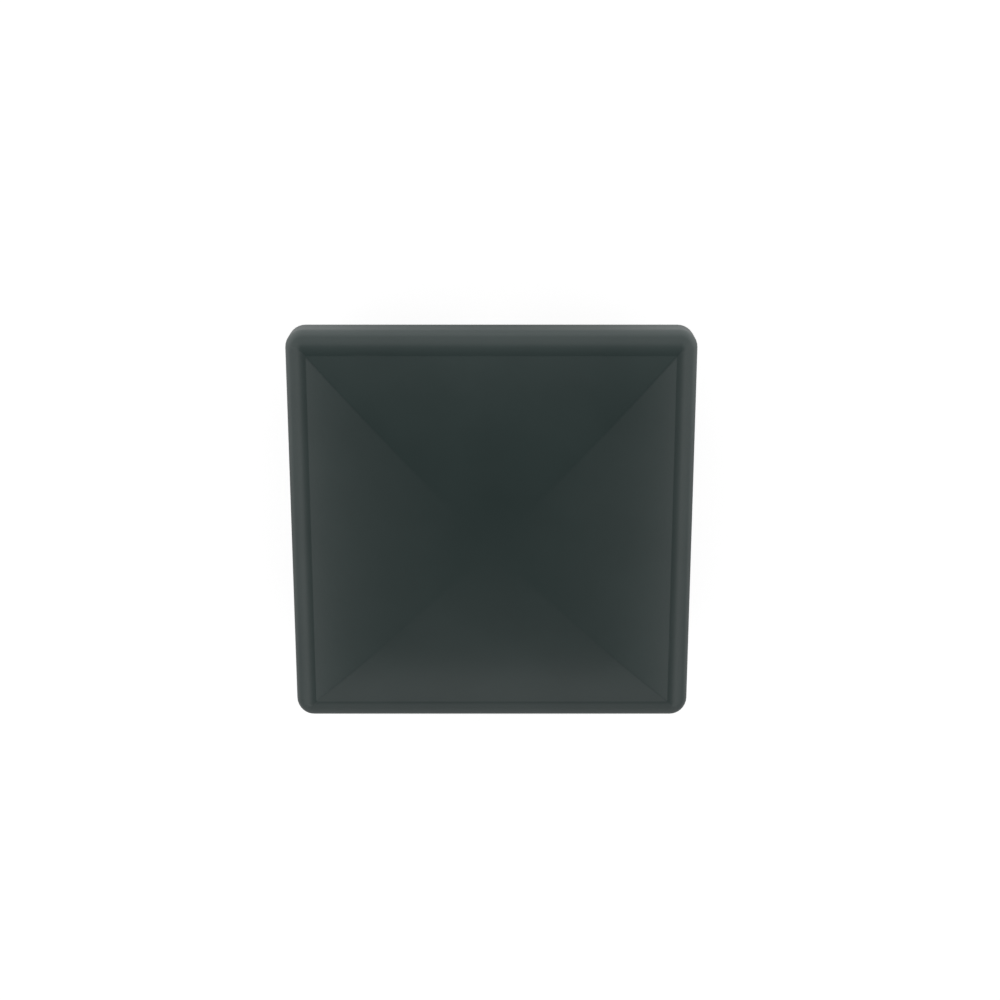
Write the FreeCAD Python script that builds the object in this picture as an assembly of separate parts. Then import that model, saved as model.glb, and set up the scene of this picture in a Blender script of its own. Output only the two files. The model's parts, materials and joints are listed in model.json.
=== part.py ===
import FreeCAD, Part
import math
import os
from FreeCAD import Vector

# A pyramid-topped cap for a hollow square aluminium fence post.
# A powder-coated cast shell covers the post's end. A moulded frame is screwed up inside it and
# plugs into the post, and four spring clips in the frame grip the post's inner walls.
# Millimetres, +Z up. The origin is the centre of the frame's lower edge.

# Driving dimensions: the post
post_side = 100.0
post_wall = 3.0
post_clearance = 0.5

# Driving dimensions: the cast shell
skirt_wall = 2.5
skirt_straight = 6.75
rim_edge_radius = 5.4
rim_crown_radius = 12.3
rim_meet_slope = math.radians(40.0)
plan_corner_radius = 4.7
bottom_edge_radius = 0.5
shoulder_inset = 5.75
roof_edge_slope = math.radians(27.5)
roof_wall = 2.8
socket_lead_in = 0.5
ledge_depth = 8.8
pocket_half = 44.0
pocket_corner_radius = 3.0

# Driving dimensions: bosses and ribs under the roof
boss_place = 34.5
boss_radius = 4.5
pilot_radius = 1.8
pilot_depth = 9.1
rib_width = 2.2
rib_depth = 3.2
boss_depth = 5.1

# Driving dimensions: the gasket
gasket_thickness = 2.0
gasket_gap = 0.3

# Driving dimensions: the plug-in frame
frame_drop = 18.0
frame_clearance = 1.0
frame_wall = 2.2
frame_corner_radius = 4.0
frame_lead_in = 1.2
pad_thickness = 2.5
pad_corner_radius = 6.0
pad_margin = 8.0
gusset_height = 7.0
guide_rib_height = 0.8
guide_rib_width = 2.4
guide_rib_place = 27.0
guide_rib_chamfer = 0.7
guide_rib_end_gap = 1.0

# Driving dimensions: a spring clip and its seat in the frame
clip_width = 14.0
clip_strip = 0.8
clip_corner_proud = 1.3
clip_eye_radius = 1.6
clip_eye_lip = math.radians(110.0)
clip_pivot_depth = 2.8
clip_pivot_height = 3.0
clip_bend_radius = 1.1
clip_crest_drop = 3.4
clip_tab_drop = 1.2
clip_tab_rise = 3.5
clip_tab_gap = 0.5
clip_side_gap = 0.6
eye_clearance = 0.05
eye_slot_gap = 0.2
seat_width = 20.0
seat_height = 5.5
seat_depth = 5.5
window_top_gap = 1.0

# Driving dimensions: screws and washers
screw_radius = 2.1
screw_core_radius = 1.55
screw_length = 12.0
screw_pitch = 1.4
screw_crest = 0.14
screw_neck = 1.2
screw_point = 2.4
screw_point_radius = 0.3
screw_head_radius = 4.0
screw_head_height = 2.6
screw_head_rim = 1.2
recess_reach = 2.2
recess_half_width = 0.45
recess_depth = 1.4
washer_radius = 5.0
washer_thickness = 1.0
screw_hole_radius = 2.3

# How far a cutting or joining shape runs past the face that it goes through
overrun = 1.0

# Heights and half widths worked out from the driving dimensions
skirt_bottom = frame_drop
socket_half = post_side / 2 + post_clearance
shell_half = socket_half + skirt_wall
rim_start = skirt_bottom + skirt_straight
meet_inset = rim_edge_radius * (1 - math.sin(rim_meet_slope))
meet_height = rim_start + rim_edge_radius * math.cos(rim_meet_slope)
ledge_height = skirt_bottom + ledge_depth
seat_plane = ledge_height - gasket_thickness
frame_half = post_side / 2 - post_wall - frame_clearance
frame_inner_half = frame_half - frame_wall
roof_half = shell_half - shoulder_inset
roof_radius = roof_half / math.sin(roof_edge_slope)
above_roof = meet_height + roof_half
pad_top = skirt_bottom + boss_depth
pad_bottom = pad_top - pad_thickness
clip_pivot_half = frame_half - clip_pivot_depth
clip_corner_half = post_side / 2 - post_wall + clip_corner_proud
window_top = skirt_bottom - window_top_gap

SIDES = {"right": 0, "back": 90, "left": 180, "front": 270}
CORNERS = {"back_right": 0, "back_left": 90, "front_left": 180, "front_right": 270}
UP = Vector(0, 0, 1)
CENTRE = Vector(0, 0, 0)


def turned(shape, degrees):
    """A copy of the shape turned about the cap's vertical centre line."""
    copy = shape.copy()
    copy.rotate(CENTRE, UP, degrees)
    return copy


def four_times(shape):
    """The shape and its copies at every quarter turn, as one solid."""
    return shape.multiFuse([turned(shape, quarter) for quarter in (90, 180, 270)])


def box(x_low, x_high, y_low, y_high, z_low, z_high):
    """A block between two values on each axis."""
    corner = Vector(x_low, y_low, z_low)
    return Part.makeBox(x_high - x_low, y_high - y_low, z_high - z_low, corner)


def square_prism(half, corner_radius, z_low, z_high):
    """An upright square block with rounded vertical edges."""
    block = box(-half, half, -half, half, z_low, z_high)
    upright = [edge for edge in block.Edges if abs(edge.tangentAt(edge.FirstParameter).z) > 0.9]
    return block.makeFillet(corner_radius, upright)


def outline_face(edges):
    """A flat face bounded by edges given in order."""
    return Part.Face(Part.Wire(Part.__sortEdges__(edges)))


def line(start, end):
    return Part.LineSegment(start, end).toShape()


def arc(start, middle, end):
    return Part.Arc(start, middle, end).toShape()


def rim_slope(inset):
    """Slope of the rounded rim at a distance in from the skirt's outer face."""
    if inset < meet_inset:
        return math.asin(1 - inset / rim_edge_radius)
    return math.asin(math.sin(rim_meet_slope) - (inset - meet_inset) / rim_crown_radius)


def rim_height(inset):
    """Height of the rounded rim: a tight arc up from the skirt, then a wide one over the crown."""
    slope = rim_slope(inset)
    if inset < meet_inset:
        return rim_start + rim_edge_radius * math.cos(slope)
    return meet_height + rim_crown_radius * (math.cos(slope) - math.cos(rim_meet_slope))


def rim_arc(reach, first_inset, last_inset):
    """One arc of the rim in the XZ plane, with the skirt's outer face at X = reach."""
    insets = (first_inset, (first_inset + last_inset) / 2, last_inset)
    return arc(*[Vector(reach - inset, 0, rim_height(inset)) for inset in insets])


def skirt_outline(reach, last_inset):
    """The skirt's outer face and rim in the XZ plane, with the points where they begin and end."""
    turn = bottom_edge_radius * (1 - math.sqrt(0.5))
    low_in = Vector(reach - bottom_edge_radius, 0, skirt_bottom)
    low_middle = Vector(reach - turn, 0, skirt_bottom + turn)
    low_out = Vector(reach, 0, skirt_bottom + bottom_edge_radius)
    edges = [
        arc(low_in, low_middle, low_out),
        line(low_out, Vector(reach, 0, rim_start)),
        rim_arc(reach, 0, meet_inset),
        rim_arc(reach, meet_inset, last_inset),
    ]
    return edges, low_in, Vector(reach - last_inset, 0, rim_height(last_inset))


def mirrored(edges):
    """The same edges on the other side of the YZ plane."""
    return [edge.mirror(CENTRE, Vector(1, 0, 0)) for edge in edges]


def skirt_slab():
    """The skirt's outline carried straight from the front face to the back face."""
    edges, low, high = skirt_outline(shell_half, shoulder_inset + overrun)
    bottom = line(Vector(-low.x, 0, low.z), low)
    top = line(Vector(-high.x, 0, high.z), high)
    face = outline_face(edges + mirrored(edges) + [bottom, top])
    face.translate(Vector(0, -shell_half, 0))
    return face.extrude(Vector(0, 2 * shell_half, 0))


def skirt_corner():
    """One rounded plan corner of the skirt: its outline swung a quarter turn about the corner's centre."""
    edges, low, high = skirt_outline(plan_corner_radius, plan_corner_radius)
    axis_low = Vector(0, 0, skirt_bottom)
    face = outline_face(edges + [line(axis_low, low), line(high, axis_low)])
    corner = face.revolve(CENTRE, UP, 90)
    start = shell_half - plan_corner_radius
    corner.translate(Vector(start, start, 0))
    return corner


def skirt_block():
    """The solid outer form of the skirt and rim, mitred on its diagonals and rounded in plan."""
    slab = skirt_slab()
    mitred = slab.common(turned(slab, 90))
    start = shell_half - plan_corner_radius
    end = shell_half + overrun
    sharp_corner = box(start, end, start, end, 0, above_roof)
    return mitred.cut(four_times(sharp_corner)).fuse(four_times(skirt_corner()))


def vault(depth, half, z_low):
    """The solid under a four-sided vaulted roof whose faces are parts of cylinders.

    depth is how far the faces lie below the roof's outer faces.
    """
    radius = roof_radius - depth
    axis_height = rim_height(shoulder_inset) - roof_radius * math.cos(roof_edge_slope)
    edge_height = axis_height + math.sqrt(radius**2 - half**2)
    low_left = Vector(-half, 0, z_low)
    low_right = Vector(half, 0, z_low)
    left = Vector(-half, 0, edge_height)
    right = Vector(half, 0, edge_height)
    face = outline_face([
        line(low_left, low_right),
        line(low_right, right),
        arc(right, Vector(0, 0, axis_height + radius), left),
        line(left, low_left),
    ])
    face.translate(Vector(0, -half, 0))
    barrel = face.extrude(Vector(0, 2 * half, 0))
    return barrel.common(turned(barrel, 90))


def boss(radius, z_low, z_high):
    """An upright cylinder on the back right screw's centre line."""
    return Part.makeCylinder(radius, z_high - z_low, Vector(boss_place, boss_place, z_low))


def under_roof_ribs():
    """Stiffening left standing under the roof: bosses, their webs and two diagonal ribs."""
    web_end = pocket_half + overrun
    half_web = rib_width / 2
    web_low = boss_place - half_web
    web_high = boss_place + half_web
    web_x = box(boss_place, web_end, web_low, web_high, ledge_height, above_roof)
    web_y = box(web_low, web_high, boss_place, web_end, ledge_height, above_roof)
    posts = four_times(boss(boss_radius, pad_top, above_roof))
    webs = four_times(web_x.fuse(web_y))
    diagonal = box(-web_end, web_end, -half_web, half_web, ledge_height, above_roof)
    cross = turned(diagonal, 45).fuse(turned(diagonal, 135))
    cross = cross.cut(vault(roof_wall + rib_depth, web_end, skirt_bottom))
    return posts.fuse(webs).fuse(cross)


def socket_hollow():
    """The space that the post's end goes up into, with a sloped lead-in at its mouth."""
    radius = plan_corner_radius - skirt_wall
    socket = square_prism(socket_half, radius, skirt_bottom - overrun, ledge_height)
    mouth_high = skirt_bottom + socket_lead_in
    mouth_radius = radius + socket_lead_in
    mouth = square_prism(socket_half + socket_lead_in, mouth_radius, skirt_bottom - overrun, mouth_high)
    high_edges = [edge for edge in mouth.Edges if edge.BoundBox.ZMin > mouth_high - 0.01]
    return socket.fuse(mouth.makeChamfer(socket_lead_in, high_edges))


def roof_pocket():
    """The space under the vaulted roof."""
    low = ledge_height - overrun
    return vault(roof_wall, pocket_half, low).common(
        square_prism(pocket_half, pocket_corner_radius, low, above_roof))


def cap_shell():
    """The visible cast cap: skirt, rounded rim, pyramid roof, and the hollow under them."""
    outer = skirt_block().fuse(vault(0, roof_half + overrun, rim_start))
    hollow = socket_hollow().fuse(roof_pocket()).cut(under_roof_ribs())
    pilot = boss(pilot_radius, pad_top - overrun, pad_top + pilot_depth)
    return outer.cut(hollow).cut(four_times(pilot)).removeSplitter()


def seal_gasket():
    """The flat rubber ring under the shell's ledge that the end of the post presses on."""
    outer_half = socket_half - gasket_gap
    outer = square_prism(outer_half, plan_corner_radius - skirt_wall, seat_plane, ledge_height)
    inner_half = frame_half + gasket_gap
    inner = square_prism(inner_half, frame_corner_radius, seat_plane - overrun, ledge_height + overrun)
    return outer.cut(inner)


def frame_envelope():
    """The frame's outer form as a solid block, with a sloped lead-in round its lower edge."""
    block = square_prism(frame_half, frame_corner_radius, 0, ledge_height)
    low_edges = [edge for edge in block.Edges if edge.BoundBox.ZMax < 0.01]
    return block.makeChamfer(frame_lead_in, low_edges)


def frame_collar():
    """The frame's square wall."""
    inner_radius = frame_corner_radius - frame_wall
    inner = square_prism(frame_inner_half, inner_radius, -overrun, ledge_height + overrun)
    return frame_envelope().cut(inner)


def corner_pad():
    """The back right pad that takes a screw."""
    start = boss_place - pad_margin
    end = frame_half - frame_wall / 2
    pad = box(start, end, start, end, pad_bottom, pad_top)
    inner_edge = [
        edge for edge in pad.Edges
        if abs(edge.CenterOfMass.x - start) < 0.01 and abs(edge.CenterOfMass.y - start) < 0.01
    ]
    pad = pad.makeFillet(pad_corner_radius, inner_edge)
    hole = boss(screw_hole_radius, pad_bottom - overrun, pad_top + overrun)
    return pad.cut(hole)


def gusset():
    """A triangular web from the right wall to the back right pad."""
    place = boss_place - pad_margin
    wall = frame_half - frame_wall / 2
    low = Vector(wall, place, pad_bottom - gusset_height)
    inner = Vector(boss_place, place, pad_bottom)
    outer = Vector(wall, place, pad_bottom)
    face = outline_face([line(low, inner), line(inner, outer), line(outer, low)])
    return face.extrude(Vector(0, frame_wall, 0))


def guide_rib(place):
    """A low upright rib on the right wall that centres the frame in the post."""
    half = guide_rib_width / 2
    low = frame_lead_in + guide_rib_end_gap
    high = skirt_bottom - guide_rib_end_gap
    face = frame_half + guide_rib_height
    rib = box(frame_half - frame_wall / 2, face, place - half, place + half, low, high)
    ends = [
        edge for edge in rib.Edges
        if edge.CenterOfMass.x > face - 0.01
        and abs(edge.tangentAt(edge.FirstParameter).y) > 0.9
    ]
    return rib.makeChamfer(guide_rib_chamfer, ends)


def clip_seat():
    """The thick part of the right wall that the clip's eye sits in."""
    half = seat_width / 2
    return box(frame_half - seat_depth, frame_half, -half, half, 0, seat_height).common(frame_envelope())


def clip_seat_hollow():
    """The space for the right clip: its eye's bore, the slot above that, and the window."""
    half_width = clip_width / 2 + clip_side_gap
    bore = Part.makeCylinder(
        clip_eye_radius + eye_clearance,
        2 * half_width,
        Vector(clip_pivot_half, -half_width, clip_pivot_height),
        Vector(0, 1, 0),
    )
    slot_end = clip_pivot_half + clip_eye_radius + eye_slot_gap
    slot_top = seat_height + overrun
    slot = box(clip_pivot_half, slot_end, -half_width, half_width, clip_pivot_height, slot_top)
    wall_in = frame_inner_half - overrun
    wall_out = frame_half + overrun
    window = box(wall_in, wall_out, -half_width, half_width, seat_height, window_top)
    return bore.fuse(slot).fuse(window)


def insert_frame():
    """The moulded frame that plugs into the post and carries the clips."""
    frame = frame_collar().fuse(four_times(corner_pad()))
    frame = frame.fuse(four_times(gusset()))
    frame = frame.fuse(four_times(gusset().mirror(CENTRE, Vector(1, -1, 0))))
    for place in (-guide_rib_place, guide_rib_place):
        frame = frame.fuse(four_times(guide_rib(place)))
    frame = frame.fuse(four_times(clip_seat()))
    return frame.cut(four_times(clip_seat_hollow())).removeSplitter()


def bent_strip(corners, bend_radius):
    """A path through the corners in the XZ plane, with each inner corner rounded."""
    edges = []
    start = corners[0]
    for before, corner, after in zip(corners, corners[1:], corners[2:]):
        to_before = (before - corner).normalize()
        to_after = (after - corner).normalize()
        half_angle = to_before.getAngle(to_after) / 2
        setback = bend_radius / math.tan(half_angle)
        bisector = (to_before + to_after).normalize()
        arc_centre = corner + bisector * (bend_radius / math.sin(half_angle))
        leave = corner + to_before * setback
        join = corner + to_after * setback
        edges.append(line(start, leave))
        edges.append(arc(leave, arc_centre - bisector * bend_radius, join))
        start = join
    edges.append(line(start, corners[-1]))
    return edges


def spring_clip(turn):
    """A spring steel clip: a rolled eye, a sloping arm, a rounded crest and a stop tab."""
    middle = clip_eye_radius - clip_strip / 2
    pivot = Vector(clip_pivot_half, 0, clip_pivot_height)
    half_round = (clip_eye_lip + 2 * math.pi) / 2
    eye_start, eye_low, eye_end = [
        pivot + Vector(middle * math.cos(angle), 0, middle * math.sin(angle))
        for angle in (clip_eye_lip, half_round, 2 * math.pi)
    ]
    crest = clip_corner_half - clip_strip / 2
    behind_wall = frame_inner_half - clip_strip / 2 - clip_tab_gap
    arm = bent_strip([
        eye_end,
        Vector(eye_end.x, 0, seat_height),
        Vector(crest, 0, window_top - clip_crest_drop),
        Vector(behind_wall, 0, window_top - clip_tab_drop),
        Vector(behind_wall, 0, window_top + clip_tab_rise),
    ], clip_bend_radius)
    path = Part.Wire([arc(eye_start, eye_low, eye_end)] + arm)
    one_side = path.makeOffset2D(clip_strip / 2, 0, False, True)
    section = one_side.makeOffset2D(-clip_strip, 0, True, True)
    clip = section.extrude(Vector(0, clip_width, 0))
    clip.translate(Vector(0, -clip_width / 2, 0))
    return turned(clip, turn)


def thread_outline(z_low, z_high):
    """The saw-tooth outline of a coarse thread between two heights, on the screw's own axis."""
    points = []
    height = z_low
    crest_low = (screw_pitch - screw_crest) / 2
    while height + screw_pitch <= z_high:
        points.append(Vector(screw_core_radius, 0, height))
        points.append(Vector(screw_radius, 0, height + crest_low))
        points.append(Vector(screw_radius, 0, height + crest_low + screw_crest))
        height += screw_pitch
    points.append(Vector(screw_core_radius, 0, height))
    return points


def screw_shank():
    """The threaded shank and its point, standing on top of the head."""
    head_top = screw_head_height
    tip = head_top + screw_length
    outline = [Vector(0, 0, head_top), Vector(screw_core_radius, 0, head_top)]
    outline += thread_outline(head_top + screw_neck, tip - screw_point)
    outline += [Vector(screw_point_radius, 0, tip), Vector(0, 0, tip), Vector(0, 0, head_top)]
    return Part.Face(Part.makePolygon(outline)).revolve(CENTRE, UP, 360)


def screw_head():
    """The pan head, domed side down, with a cross recess."""
    dome_height = screw_head_height - screw_head_rim
    dome_radius = (screw_head_radius**2 + dome_height**2) / (2 * dome_height)
    half_way = screw_head_radius / 2
    centre = CENTRE
    dome_middle = Vector(half_way, 0, dome_radius - math.sqrt(dome_radius**2 - half_way**2))
    dome_edge = Vector(screw_head_radius, 0, dome_height)
    rim_top = Vector(screw_head_radius, 0, screw_head_height)
    centre_top = Vector(0, 0, screw_head_height)
    face = outline_face([
        arc(centre, dome_middle, dome_edge),
        line(dome_edge, rim_top),
        line(rim_top, centre_top),
        line(centre_top, centre),
    ])
    width = recess_half_width
    slot = box(-recess_reach, recess_reach, -width, width, -overrun, recess_depth)
    return face.revolve(CENTRE, UP, 360).cut(slot).cut(turned(slot, 90))


def screw(turn):
    """A self-tapping pan-head screw, head down."""
    whole = screw_head().fuse(screw_shank()).removeSplitter()
    head_low = pad_bottom - washer_thickness - screw_head_height
    whole.translate(Vector(boss_place, boss_place, head_low))
    return turned(whole, turn)


def washer(turn):
    """The flat washer under a screw's head."""
    low = pad_bottom - washer_thickness
    hole = boss(screw_hole_radius, low - overrun, pad_bottom + overrun)
    return turned(boss(washer_radius, low, pad_bottom).cut(hole), turn)


def build_parts():
    """Every piece of the cap by name."""
    parts = {
        "cap_shell": cap_shell(),
        "seal_gasket": seal_gasket(),
        "insert_frame": insert_frame(),
    }
    for side, turn in SIDES.items():
        parts["spring_clip_" + side] = spring_clip(turn)
    for corner, turn in CORNERS.items():
        parts["frame_screw_" + corner] = screw(turn)
        parts["frame_washer_" + corner] = washer(turn)
    return parts


os.makedirs("parts", exist_ok=True)
for name, shape in build_parts().items():
    print(name, len(shape.Solids), shape.isValid(), round(shape.Volume), shape.BoundBox)
    shape.exportStep("parts/" + name + ".step")
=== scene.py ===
import json
import math
import bmesh
import bpy
from mathutils import Matrix, Vector


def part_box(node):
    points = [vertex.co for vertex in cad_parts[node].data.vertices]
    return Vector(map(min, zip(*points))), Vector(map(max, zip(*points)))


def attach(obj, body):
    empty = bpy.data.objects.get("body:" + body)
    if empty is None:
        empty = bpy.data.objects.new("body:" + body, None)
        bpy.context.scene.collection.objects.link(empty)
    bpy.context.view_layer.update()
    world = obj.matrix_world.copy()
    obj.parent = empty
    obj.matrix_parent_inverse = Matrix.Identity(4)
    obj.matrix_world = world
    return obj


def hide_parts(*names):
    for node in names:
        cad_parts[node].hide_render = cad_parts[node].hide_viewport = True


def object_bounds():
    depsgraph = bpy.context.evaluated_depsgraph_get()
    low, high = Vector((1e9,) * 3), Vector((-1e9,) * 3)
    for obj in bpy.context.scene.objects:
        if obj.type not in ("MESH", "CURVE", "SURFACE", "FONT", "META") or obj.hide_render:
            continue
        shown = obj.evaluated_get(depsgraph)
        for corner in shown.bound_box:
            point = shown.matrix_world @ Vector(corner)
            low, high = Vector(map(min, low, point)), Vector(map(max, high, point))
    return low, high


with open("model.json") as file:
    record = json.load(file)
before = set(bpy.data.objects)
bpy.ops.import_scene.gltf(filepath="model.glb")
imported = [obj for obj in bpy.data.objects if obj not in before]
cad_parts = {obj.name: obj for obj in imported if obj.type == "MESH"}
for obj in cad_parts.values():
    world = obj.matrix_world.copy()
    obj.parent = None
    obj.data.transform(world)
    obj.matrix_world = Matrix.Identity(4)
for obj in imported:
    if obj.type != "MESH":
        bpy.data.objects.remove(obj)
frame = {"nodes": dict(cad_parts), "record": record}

MM = 0.001

# Places, sizes and names worked out from the frame
cad_low, cad_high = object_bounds()
shell_low, shell_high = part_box("cap_shell")
WIDTH = shell_high.x - shell_low.x
HALF = WIDTH / 2
SKIRT_BOTTOM = shell_low.z
PEAK = shell_high.z
FLOOR_Z = cad_low.z
BODY_OF = {name: body for body, names in frame["record"]["behaviour"]["bodies"].items() for name in names}

# The shell's plan and skirt
PLAN_CORNER = 4.7 * MM
BOTTOM_EDGE = 0.5 * MM
SKIRT_STRAIGHT = 6.65 * MM
WALL_START = SKIRT_BOTTOM + BOTTOM_EDGE
RIM_START = SKIRT_BOTTOM + SKIRT_STRAIGHT

# The rim is three arcs that run into one another: the edge, the cheek and the crown, which ends at
# the shoulder, where the roof starts. A slope is the angle between a surface and the level.
UNDERSIDE = math.pi
UPRIGHT = math.pi / 2
CHEEK_SLOPE = math.radians(44.0)
CROWN_SLOPE = math.radians(38.0)
RIM_EDGE_RADIUS = 5.4 * MM
RIM_CHEEK_RADIUS = 16.6 * MM
RIM_CROWN_RADIUS = 8.0 * MM
SHOULDER_INSET = 5.75 * MM
CREASE_SOFTNESS = 0.03 * MM

# The vaulted roof
ROOF_EDGE_SLOPE = math.radians(27.5)
ROOF_RADIUS = (HALF - SHOULDER_INSET) / math.sin(ROOF_EDGE_SLOPE)
ROOF_AXIS = PEAK - ROOF_RADIUS
RIDGE_SOFTNESS = 0.16 * MM

# How finely the shell's outside is divided, round the cap and then from the skirt up to the peak
SIDE_STEPS = 64
CORNER_STEPS = 8
EDGE_STEPS = 4
WALL_STEPS = 4
RIM_STEPS = 16
CHEEK_STEPS = 6
CROWN_STEPS = 14
CREASE_STEPS = 10
ROOF_STEPS = 46

# How far the finely divided crease reaches to each side of the shoulder
CREASE_REACH = 0.3 * MM

# Points closer together than these become one: on a CAD piece, and over the whole of the shell
CAD_WELD = 0.001 * MM
SHELL_WELD = 0.0005 * MM

# A face is at the height of the skirt's lower edge if it is within this of it
LEVEL_SLACK = 0.01 * MM

# Faces that turn by less than this are one flat face
FLAT = math.radians(0.5)

# An edge is sharp if it turns by more than this, on a CAD piece and on the shell
SHARP = math.radians(35)
SHELL_SHARP = math.radians(40)

# The rounding of the CAD pieces' sharp edges
MOULDED_EDGE = 0.25 * MM
METAL_EDGE = 0.15 * MM
ROUNDING_STEPS = 3

# The camera, in widths of the cap, measured from the centre of the skirt's lower edge
CAMERA_TILT = math.radians(16.03)
CAMERA_DISTANCE = 4.4205
CAMERA_RIGHT = 0.0209
CAMERA_UP = 0.0491
CAMERA_LENS = 62.8

# Brightness of the studio by the height of the direction looked in: 0 level, 1 straight up
STUDIO = [(0.0, 0.95), (0.15, 0.97), (0.25, 1.1), (0.33, 1.4), (0.4, 1.15), (0.45, 0.85), (0.5, 0.64),
          (0.56, 0.48), (0.65, 0.4), (0.75, 0.39), (0.85, 0.3), (0.93, 0.2), (1.0, 0.18)]
STUDIO_BRIGHTEST = max(level for height, level in STUDIO)

# Only this share of the studio's light comes from straight in front, and all of it from directions
# whose Y is at least this
FRONT_SHARE = 0.55
FRONT_END = -0.65

# A mix node's sockets share their names, so they are told apart by their places
NUMBER_A, NUMBER_B, NUMBER_OUT = 2, 3, 0
COLOUR_A, COLOUR_B, COLOUR_OUT = 6, 7, 2


# ---------------------------------------------------------------- nodes

def new_material(name):
    """A material and its main shader."""
    material = bpy.data.materials.new(name)
    material.use_nodes = True
    return material, material.node_tree.nodes["Principled BSDF"]


def node(material, kind, **settings):
    """A new node in a material, or in the world, with some of its settings or inputs filled in."""
    made = material.node_tree.nodes.new(kind)
    for key, value in settings.items():
        if key in made.inputs:
            made.inputs[key].default_value = value
        else:
            setattr(made, key, value)
    return made


def link(material, source, target):
    """Joins an output socket to an input socket."""
    material.node_tree.links.new(source, target)


def place_of(material, stretch=(1, 1, 1)):
    """The surface point's place in its piece's own axes, scaled along each of them."""
    coordinates = node(material, "ShaderNodeTexCoord")
    mapping = node(material, "ShaderNodeMapping", Scale=stretch)
    link(material, coordinates.outputs["Object"], mapping.inputs["Vector"])
    return mapping.outputs["Vector"]


def parts_of(material, vector):
    """The X, Y and Z of a vector, as sockets of one node."""
    split = node(material, "ShaderNodeSeparateXYZ")
    link(material, vector, split.inputs[0])
    return split.outputs


def noise(material, size, detail=3.0, stretch=(1, 1, 1)):
    """Noise whose features are about size across, in metres, where the stretch is 1."""
    texture = node(material, "ShaderNodeTexNoise", Scale=1 / size, Detail=detail, Roughness=0.5)
    link(material, place_of(material, stretch), texture.inputs["Vector"])
    return texture.outputs["Fac"]


def spread(material, value, low=0.0, high=1.0, start=0.3, end=0.7):
    """A value that goes from low to high while another goes from start to end.

    The start and end that are taken if none are given hold most of a noise between them.
    """
    ranged = node(material, "ShaderNodeMapRange")
    ranged.inputs["From Min"].default_value = start
    ranged.inputs["From Max"].default_value = end
    ranged.inputs["To Min"].default_value = low
    ranged.inputs["To Max"].default_value = high
    link(material, value, ranged.inputs["Value"])
    return ranged.outputs["Result"]


def combine(material, operation, first, second):
    """Two values put together, by ADD or MULTIPLY."""
    made = node(material, "ShaderNodeMath", operation=operation)
    link(material, first, made.inputs[0])
    link(material, second, made.inputs[1])
    return made.outputs["Value"]


def blend_colour(material, factor, first, second):
    """A colour between two, by a factor from 0 to 1. Each may be a colour or a socket."""
    mix = node(material, "ShaderNodeMix", data_type="RGBA")
    link(material, factor, mix.inputs["Factor"])
    for socket, colour in ((mix.inputs[COLOUR_A], first), (mix.inputs[COLOUR_B], second)):
        if isinstance(colour, tuple):
            socket.default_value = (*colour, 1)
        else:
            link(material, colour, socket)
    return mix.outputs[COLOUR_OUT]


def set_surface(material, shader, colour, roughness, normal):
    """Gives a shader its colour, its roughness and its bumps."""
    link(material, colour, shader.inputs["Base Color"])
    link(material, roughness, shader.inputs["Roughness"])
    link(material, normal, shader.inputs["Normal"])


def bump(material, height, distance, strength, below=None):
    """A bump from a height value, on top of another bump if one is given."""
    made = node(material, "ShaderNodeBump", Distance=distance, Strength=strength)
    link(material, height, made.inputs["Height"])
    if below is not None:
        link(material, below, made.inputs["Normal"])
    return made.outputs["Normal"]


# ---------------------------------------------------------------- camera, floor and light

def add_camera():
    """A camera above the cap and a little behind it, with the back wall at the top of the picture."""
    forward = Vector((0, -math.sin(CAMERA_TILT), -math.cos(CAMERA_TILT)))
    up = Vector((0, math.cos(CAMERA_TILT), -math.sin(CAMERA_TILT)))
    right = Vector((1, 0, 0))
    place = Vector((0, 0, SKIRT_BOTTOM)) - forward * CAMERA_DISTANCE * WIDTH
    place += (right * CAMERA_RIGHT + up * CAMERA_UP) * WIDTH
    data = bpy.data.cameras.new("camera")
    data.lens = CAMERA_LENS
    camera = bpy.data.objects.new("camera", data)
    camera.matrix_world = Matrix.Translation(place) @ Matrix((right, up, -forward)).transposed().to_4x4()
    bpy.context.scene.collection.objects.link(camera)
    bpy.context.scene.camera = camera


def add_floor():
    """A wide white floor under the cap."""
    reach = 30 * WIDTH
    corners = [(-reach, -reach), (reach, -reach), (reach, reach), (-reach, reach)]
    mesh = bpy.data.meshes.new("floor")
    mesh.from_pydata([(x, y, FLOOR_Z) for x, y in corners], [], [(0, 1, 2, 3)])
    mesh.materials.append(floor_paper())
    floor = bpy.data.objects.new("floor", mesh)
    bpy.context.scene.collection.objects.link(floor)


def floor_light(material, distance, depth):
    """The floor's light on the cap: all round it, more behind it, and brightest right under it."""
    away = spread(material, distance, start=0.5 * WIDTH, end=1.2 * WIDTH)
    behind = spread(material, depth, low=0.2, high=0.9, start=-WIDTH, end=0.8 * WIDTH)
    around = combine(material, "MULTIPLY", away, behind)
    back = spread(material, depth, high=0.17, start=0.48 * WIDTH, end=0.58 * WIDTH)
    inside = spread(material, distance, low=1.8, high=0.0, start=0.35 * WIDTH, end=0.4 * WIDTH)
    return combine(material, "ADD", around, combine(material, "ADD", back, inside))


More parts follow.
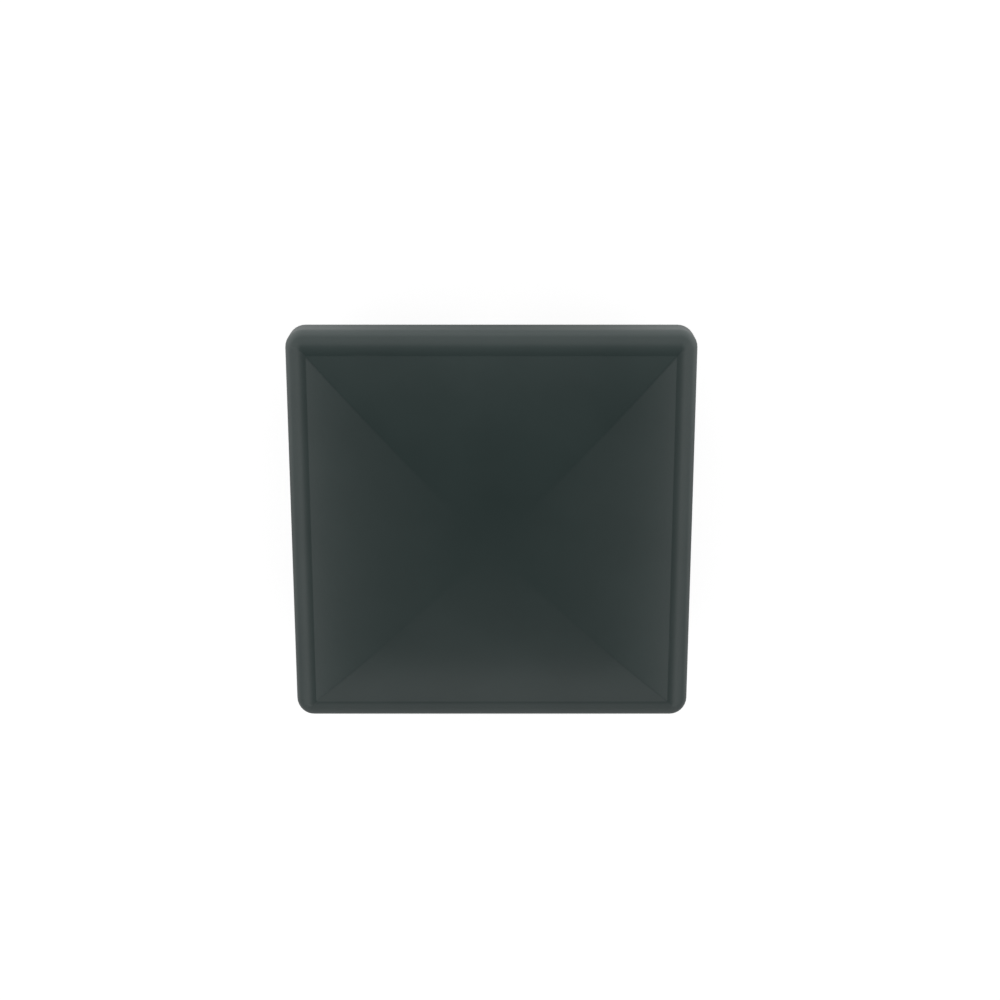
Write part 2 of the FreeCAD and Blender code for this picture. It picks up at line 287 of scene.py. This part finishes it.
def floor_paper():
    """Paper that looks white, with a painted shadow under the cap, but lights the cap by a pattern of its
    own.
    """
    material, shader = new_material("floor_paper")
    shader.inputs["Base Color"].default_value = (0.45, 0.45, 0.45, 1)
    shader.inputs["Roughness"].default_value = 1.0
    shader.inputs["Specular IOR Level"].default_value = 0.0
    shader.inputs["Emission Color"].default_value = (1, 1, 1, 1)
    place = place_of(material)
    length = node(material, "ShaderNodeVectorMath", operation="LENGTH")
    link(material, place, length.inputs[0])
    distance = length.outputs["Value"]
    light = floor_light(material, distance, parts_of(material, place)["Y"])
    # To the camera the floor glows white, with a painted shadow that dims its glow under the cap
    white_with_painted_shadow = spread(material, distance, low=0.05, high=0.85, start=0.34 * WIDTH, end=0.42 * WIDTH)
    path = node(material, "ShaderNodeLightPath")
    strength = node(material, "ShaderNodeMix", data_type="FLOAT")
    link(material, path.outputs["Is Camera Ray"], strength.inputs["Factor"])
    link(material, light, strength.inputs[NUMBER_A])
    link(material, white_with_painted_shadow, strength.inputs[NUMBER_B])
    link(material, strength.outputs[NUMBER_OUT], shader.inputs["Emission Strength"])
    hide_from_below(material, shader)
    return material


def hide_from_below(material, shader):
    """Makes a surface clear when it is looked at from its back."""
    clear = node(material, "ShaderNodeBsdfTransparent")
    side = node(material, "ShaderNodeNewGeometry")
    either = node(material, "ShaderNodeMixShader")
    link(material, side.outputs["Backfacing"], either.inputs[0])
    link(material, shader.outputs[0], either.inputs[1])
    link(material, clear.outputs[0], either.inputs[2])
    link(material, either.outputs[0], material.node_tree.nodes["Material Output"].inputs["Surface"])


def studio_brightness(world, height):
    """Brightness by the height of a direction, as a share of the brightest."""
    curve = node(world, "ShaderNodeFloatCurve")
    points = curve.mapping.curves[0].points
    while len(points) < len(STUDIO):
        points.new(0.5, 0.5)
    for point, (place, level) in zip(points, STUDIO):
        point.location = (place, level / STUDIO_BRIGHTEST)
        point.handle_type = "AUTO_CLAMPED"
    curve.mapping.update()
    link(world, spread(world, height, start=0, end=1), curve.inputs["Value"])
    return curve.outputs["Value"]


def add_studio():
    """Soft light from all round, brightest about 20 degrees up, dim overhead and weaker in front."""
    world = bpy.data.worlds.new("studio")
    bpy.context.scene.world = world
    bpy.context.scene.view_settings.view_transform = "Standard"
    world.use_nodes = True
    direction = parts_of(world, node(world, "ShaderNodeTexCoord").outputs["Generated"])
    brightness = studio_brightness(world, direction["Z"])
    weakest = FRONT_SHARE * STUDIO_BRIGHTEST
    front = spread(world, direction["Y"], weakest, STUDIO_BRIGHTEST, start=-1, end=FRONT_END)
    background = world.node_tree.nodes["Background"]
    background.inputs["Color"].default_value = (1, 1, 1, 1)
    link(world, combine(world, "MULTIPLY", brightness, front), background.inputs["Strength"])


# ---------------------------------------------------------------- materials

def powder_coat():
    """Anthracite grey powder coat: satin, with a faint orange peel and slightly thin on sharp edges."""
    material, shader = new_material("powder_coat_anthracite")
    deep = (0.0272, 0.0468, 0.0447)
    pale = (0.0336, 0.0550, 0.0525)
    worn = (0.048, 0.068, 0.065)
    cloud = noise(material, size=22 * MM)
    coat = blend_colour(material, spread(material, cloud), deep, pale)
    geometry = node(material, "ShaderNodeNewGeometry")
    # Pointiness is 0.5 on a flat face and more on a ridge
    edge = spread(material, geometry.outputs["Pointiness"], high=0.5, start=0.53, end=0.62)
    colour = blend_colour(material, edge, coat, worn)
    grain = noise(material, size=0.35 * MM, detail=2.0)
    roughness = spread(material, grain, low=0.29, high=0.33)
    peel = noise(material, size=1.6 * MM, detail=2.0)
    waves = bump(material, peel, distance=0.03 * MM, strength=0.25)
    fine = bump(material, grain, distance=0.003 * MM, strength=0.15, below=waves)
    set_surface(material, shader, colour, roughness, fine)
    return material


def gasket_rubber():
    """Black cellular rubber with a dull skin."""
    material, shader = new_material("gasket_rubber")
    deep = (0.010, 0.010, 0.010)
    pale = (0.022, 0.022, 0.021)
    cells = noise(material, size=0.5 * MM, detail=4.0)
    colour = blend_colour(material, spread(material, cells), deep, pale)
    roughness = spread(material, cells, low=0.72, high=0.88)
    pits = bump(material, cells, distance=0.08 * MM, strength=0.5)
    set_surface(material, shader, colour, roughness, pits)
    return material


def frame_nylon():
    """Black glass-filled nylon with a fine moulded grain and faint flow marks."""
    material, shader = new_material("frame_nylon")
    deep = (0.018, 0.018, 0.019)
    pale = (0.032, 0.032, 0.033)
    flow = noise(material, size=9 * MM, detail=2.0, stretch=(1, 1, 0.35))
    colour = blend_colour(material, spread(material, flow), deep, pale)
    grain = noise(material, size=0.25 * MM)
    roughness = spread(material, grain, low=0.48, high=0.62)
    waves = bump(material, flow, distance=0.05 * MM, strength=0.2)
    fine = bump(material, grain, distance=0.02 * MM, strength=0.45, below=waves)
    set_surface(material, shader, colour, roughness, fine)
    return material


def rolled_steel(name, rough, relief, stretch=(1, 1, 1)):
    """Stainless steel with fine marks, drawn out along the axes whose stretch is small."""
    material, shader = new_material(name)
    shader.inputs["Metallic"].default_value = 1.0
    bright = (0.56, 0.55, 0.53)
    dull = (0.42, 0.415, 0.40)
    cloud = noise(material, size=4 * MM, detail=2.0)
    colour = blend_colour(material, spread(material, cloud), bright, dull)
    marks = noise(material, size=0.25 * MM, detail=2.0, stretch=stretch)
    roughness = spread(material, marks, *rough)
    grooves = bump(material, marks, distance=0.004 * MM, strength=relief)
    set_surface(material, shader, colour, roughness, grooves)
    return material


# ---------------------------------------------------------------- the shell's coated casting

def soft_least(first, second, softness):
    """The smaller of two values, rounded over where they are within the softness of each other."""
    overlap = max(softness - abs(first - second), 0) / softness
    return min(first, second) - overlap * overlap * softness / 4


def roof_height(x, y):
    """Height of the vaulted roof: the lower of two barrel forms, with a softened ridge."""
    across = ROOF_AXIS + math.sqrt(ROOF_RADIUS**2 - x * x)
    along = ROOF_AXIS + math.sqrt(ROOF_RADIUS**2 - y * y)
    return soft_least(across, along, RIDGE_SOFTNESS)


def along_arc(inset, height, radius, first_slope, slope):
    """The inset and height where an arc has a slope, from those where it has its first slope."""
    inset += radius * (math.sin(first_slope) - math.sin(slope))
    height += radius * (math.cos(slope) - math.cos(first_slope))
    return inset, height


# The inset and height where each arc of the outline starts, its radius and its first slope
BOTTOM_ARC = (BOTTOM_EDGE, SKIRT_BOTTOM, BOTTOM_EDGE, UNDERSIDE)
EDGE_ARC = (0, RIM_START, RIM_EDGE_RADIUS, UPRIGHT)
CHEEK_ARC = (*along_arc(*EDGE_ARC, CHEEK_SLOPE), RIM_CHEEK_RADIUS, CHEEK_SLOPE)
CROWN_INSET, CROWN_HEIGHT = along_arc(*CHEEK_ARC, CROWN_SLOPE)


def crown_height(inset):
    """Height of the crown, the rim's uppermost arc, at a distance in from the skirt's outer face."""
    slope = math.asin(math.sin(CROWN_SLOPE) - (inset - CROWN_INSET) / RIM_CROWN_RADIUS)
    return CROWN_HEIGHT + RIM_CROWN_RADIUS * (math.cos(slope) - math.cos(CROWN_SLOPE))


def plan_ring(inset):
    """Points round the cap at a distance in from its outer faces, anticlockwise from the right side.

    They are closer together towards the corners. Further in than the corners' radius, the points
    of each corner fall together.
    """
    half = HALF - inset
    corner = max(PLAN_CORNER - inset, 0)
    straight = half - corner
    quarter = []
    for step in range(SIDE_STEPS):
        along = math.sin(math.pi / 2 * (2 * step / SIDE_STEPS - 1))
        quarter.append((half, straight * along))
    for step in range(CORNER_STEPS):
        angle = math.pi / 2 * step / CORNER_STEPS
        quarter.append((straight + corner * math.cos(angle), straight + corner * math.sin(angle)))
    ring = []
    for turn in range(4):
        ring += quarter
        quarter = [(-y, x) for x, y in quarter]
    return ring


def level_ring(inset, height):
    """A ring round the cap whose points are all at one height."""
    return [Vector((x, y, height)) for x, y in plan_ring(inset)]


def crown_ring(inset):
    """A ring of points on the rim's crown."""
    return level_ring(inset, crown_height(inset))


def crease_ring(inset):
    """A ring where the rim meets the roof: the higher of the two, with a softened crease."""
    rim = crown_height(inset)
    return [
        Vector((x, y, -soft_least(-rim, -roof_height(x, y), CREASE_SOFTNESS)))
        for x, y in plan_ring(inset)
    ]


def roof_ring(inset):
    """A ring of points on the roof."""
    return [Vector((x, y, roof_height(x, y))) for x, y in plan_ring(inset)]


def even_steps(start, end, count):
    """Evenly spaced values from the start up to, but not including, the end."""
    return [start + (end - start) * step / count for step in range(count)]


def arc_rings(arc, last_slope, count):
    """Level rings along an arc, up to, but not including, its last slope."""
    return [level_ring(*along_arc(*arc, slope)) for slope in even_steps(arc[-1], last_slope, count)]


def shell_rings():
    """Rings of points over the shell's outside, from the skirt's lower edge up to the peak."""
    crease_start = SHOULDER_INSET - CREASE_REACH
    crease_end = SHOULDER_INSET + CREASE_REACH
    rings = arc_rings(BOTTOM_ARC, UPRIGHT, EDGE_STEPS)
    rings += [level_ring(0, height) for height in even_steps(WALL_START, RIM_START, WALL_STEPS)]
    rings += arc_rings(EDGE_ARC, CHEEK_SLOPE, RIM_STEPS)
    rings += arc_rings(CHEEK_ARC, CROWN_SLOPE, CHEEK_STEPS)
    rings += [crown_ring(inset) for inset in even_steps(CROWN_INSET, crease_start, CROWN_STEPS)]
    rings += [crease_ring(inset) for inset in even_steps(crease_start, crease_end, CREASE_STEPS)]
    rings += [roof_ring(inset) for inset in even_steps(crease_end, HALF, ROOF_STEPS)]
    return rings


def add_skin(mesh):
    """Adds the shell's outside to a mesh, open at the skirt's lower edge."""
    rings = [[mesh.verts.new(point) for point in ring] for ring in shell_rings()]
    count = len(rings[0])
    for lower, upper in zip(rings, rings[1:]):
        for index in range(count):
            after = (index + 1) % count
            mesh.faces.new((lower[index], lower[after], upper[after], upper[index]))
    peak = mesh.verts.new((0, 0, roof_height(0, 0)))
    last = rings[-1]
    for index in range(count):
        mesh.faces.new((last[index], last[(index + 1) % count], peak))


def is_lower_edge(face):
    """Is this face part of the flat lower edge of the skirt?"""
    return face.calc_center_median().z < SKIRT_BOTTOM + LEVEL_SLACK


def outer_faces(mesh):
    """The faces of the CAD shell's outside, from the peak down to the skirt's lower edge."""
    found = set()
    waiting = [max(mesh.faces, key=lambda face: face.calc_center_median().z)]
    while waiting:
        face = waiting.pop()
        if face in found or is_lower_edge(face):
            continue
        found.add(face)
        waiting += [other for edge in face.edges for other in edge.link_faces]
    return found


def add_hollow(mesh):
    """Adds the CAD shell's hollow, with its bosses and ribs, to a mesh."""
    mesh.from_mesh(frame["nodes"]["cap_shell"].data)
    bmesh.ops.remove_doubles(mesh, verts=mesh.verts, dist=CAD_WELD)
    outside = outer_faces(mesh)
    unwanted = [face for face in mesh.faces if face in outside or is_lower_edge(face)]
    bmesh.ops.delete(mesh, geom=unwanted, context="FACES")


def finished_piece(mesh, name, sharp, material):
    """Turns a built mesh into an object, shaded smooth up to the angle that counts as sharp."""
    data = bpy.data.meshes.new(name)
    mesh.to_mesh(data)
    mesh.free()
    data.shade_smooth()
    data.set_sharp_from_angle(angle=sharp)
    data.materials.append(material)
    piece = bpy.data.objects.new(name, data)
    bpy.context.scene.collection.objects.link(piece)
    return piece


def add_shell(material):
    """The whole coated casting: a finely divided outside, joined at its lower edge to the CAD hollow."""
    mesh = bmesh.new()
    add_hollow(mesh)
    add_skin(mesh)
    bmesh.ops.remove_doubles(mesh, verts=mesh.verts, dist=SHELL_WELD)
    gap = [edge for edge in mesh.edges if edge.is_boundary]
    bmesh.ops.triangle_fill(mesh, edges=gap, use_beauty=True, normal=(0, 0, -1))
    bmesh.ops.recalc_face_normals(mesh, faces=mesh.faces)
    piece = finished_piece(mesh, "cap_shell_casting", SHELL_SHARP, material)
    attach(piece, "cap")
    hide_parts("cap_shell")


# ---------------------------------------------------------------- the pieces under the shell

def add_softened(name, width, material):
    """A copy of a CAD piece with its sharp outer edges rounded, standing for the plain one."""
    mesh = bmesh.new()
    mesh.from_mesh(frame["nodes"][name].data)
    bmesh.ops.remove_doubles(mesh, verts=mesh.verts, dist=CAD_WELD)
    bmesh.ops.dissolve_limit(mesh, angle_limit=FLAT, verts=mesh.verts, edges=mesh.edges)
    sharp = [
        edge for edge in mesh.edges
        if edge.is_manifold and edge.is_convex and edge.calc_face_angle() > SHARP
    ]
    bmesh.ops.bevel(
        mesh, geom=sharp, offset=width, segments=ROUNDING_STEPS, profile=0.5,
        affect="EDGES", clamp_overlap=True,
    )
    piece = finished_piece(mesh, name + "_finished", SHARP, material)
    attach(piece, BODY_OF[name])
    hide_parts(name)


def soften_all(prefix, width, material):
    """Puts a softened copy in place of each CAD piece whose name starts with the prefix."""
    for name in sorted(frame["nodes"]):
        if name.startswith(prefix):
            add_softened(name, width, material)


def dress(prefix, material):
    """Gives a material to every CAD piece whose name starts with the prefix."""
    for name, piece in frame["nodes"].items():
        if name.startswith(prefix):
            piece.data.materials.clear()
            piece.data.materials.append(material)


def add_clips():
    """The four spring clips, with marks from rolling that run along their strips."""
    drawn_out = 0.05
    for sides, stretch in (
        (("front", "back"), (1, drawn_out, drawn_out)),
        (("left", "right"), (drawn_out, 1, drawn_out)),
    ):
        name = "spring_steel_" + "_".join(sides)
        strip = rolled_steel(name, rough=(0.24, 0.4), relief=0.3, stretch=stretch)
        for side in sides:
            soften_all("spring_clip_" + side, METAL_EDGE, strip)


def add_fasteners():
    """The frame's screws, which are the CAD pieces themselves, and their washers."""
    dress("frame_screw", rolled_steel("screw_steel", rough=(0.3, 0.38), relief=0.08))
    soften_all("frame_washer", METAL_EDGE, rolled_steel("washer_steel", rough=(0.32, 0.42), relief=0.08))


add_camera()
add_floor()
add_studio()
add_shell(powder_coat())
soften_all("seal_gasket", MOULDED_EDGE, gasket_rubber())
soften_all("insert_frame", MOULDED_EDGE, frame_nylon())
add_clips()
add_fasteners()
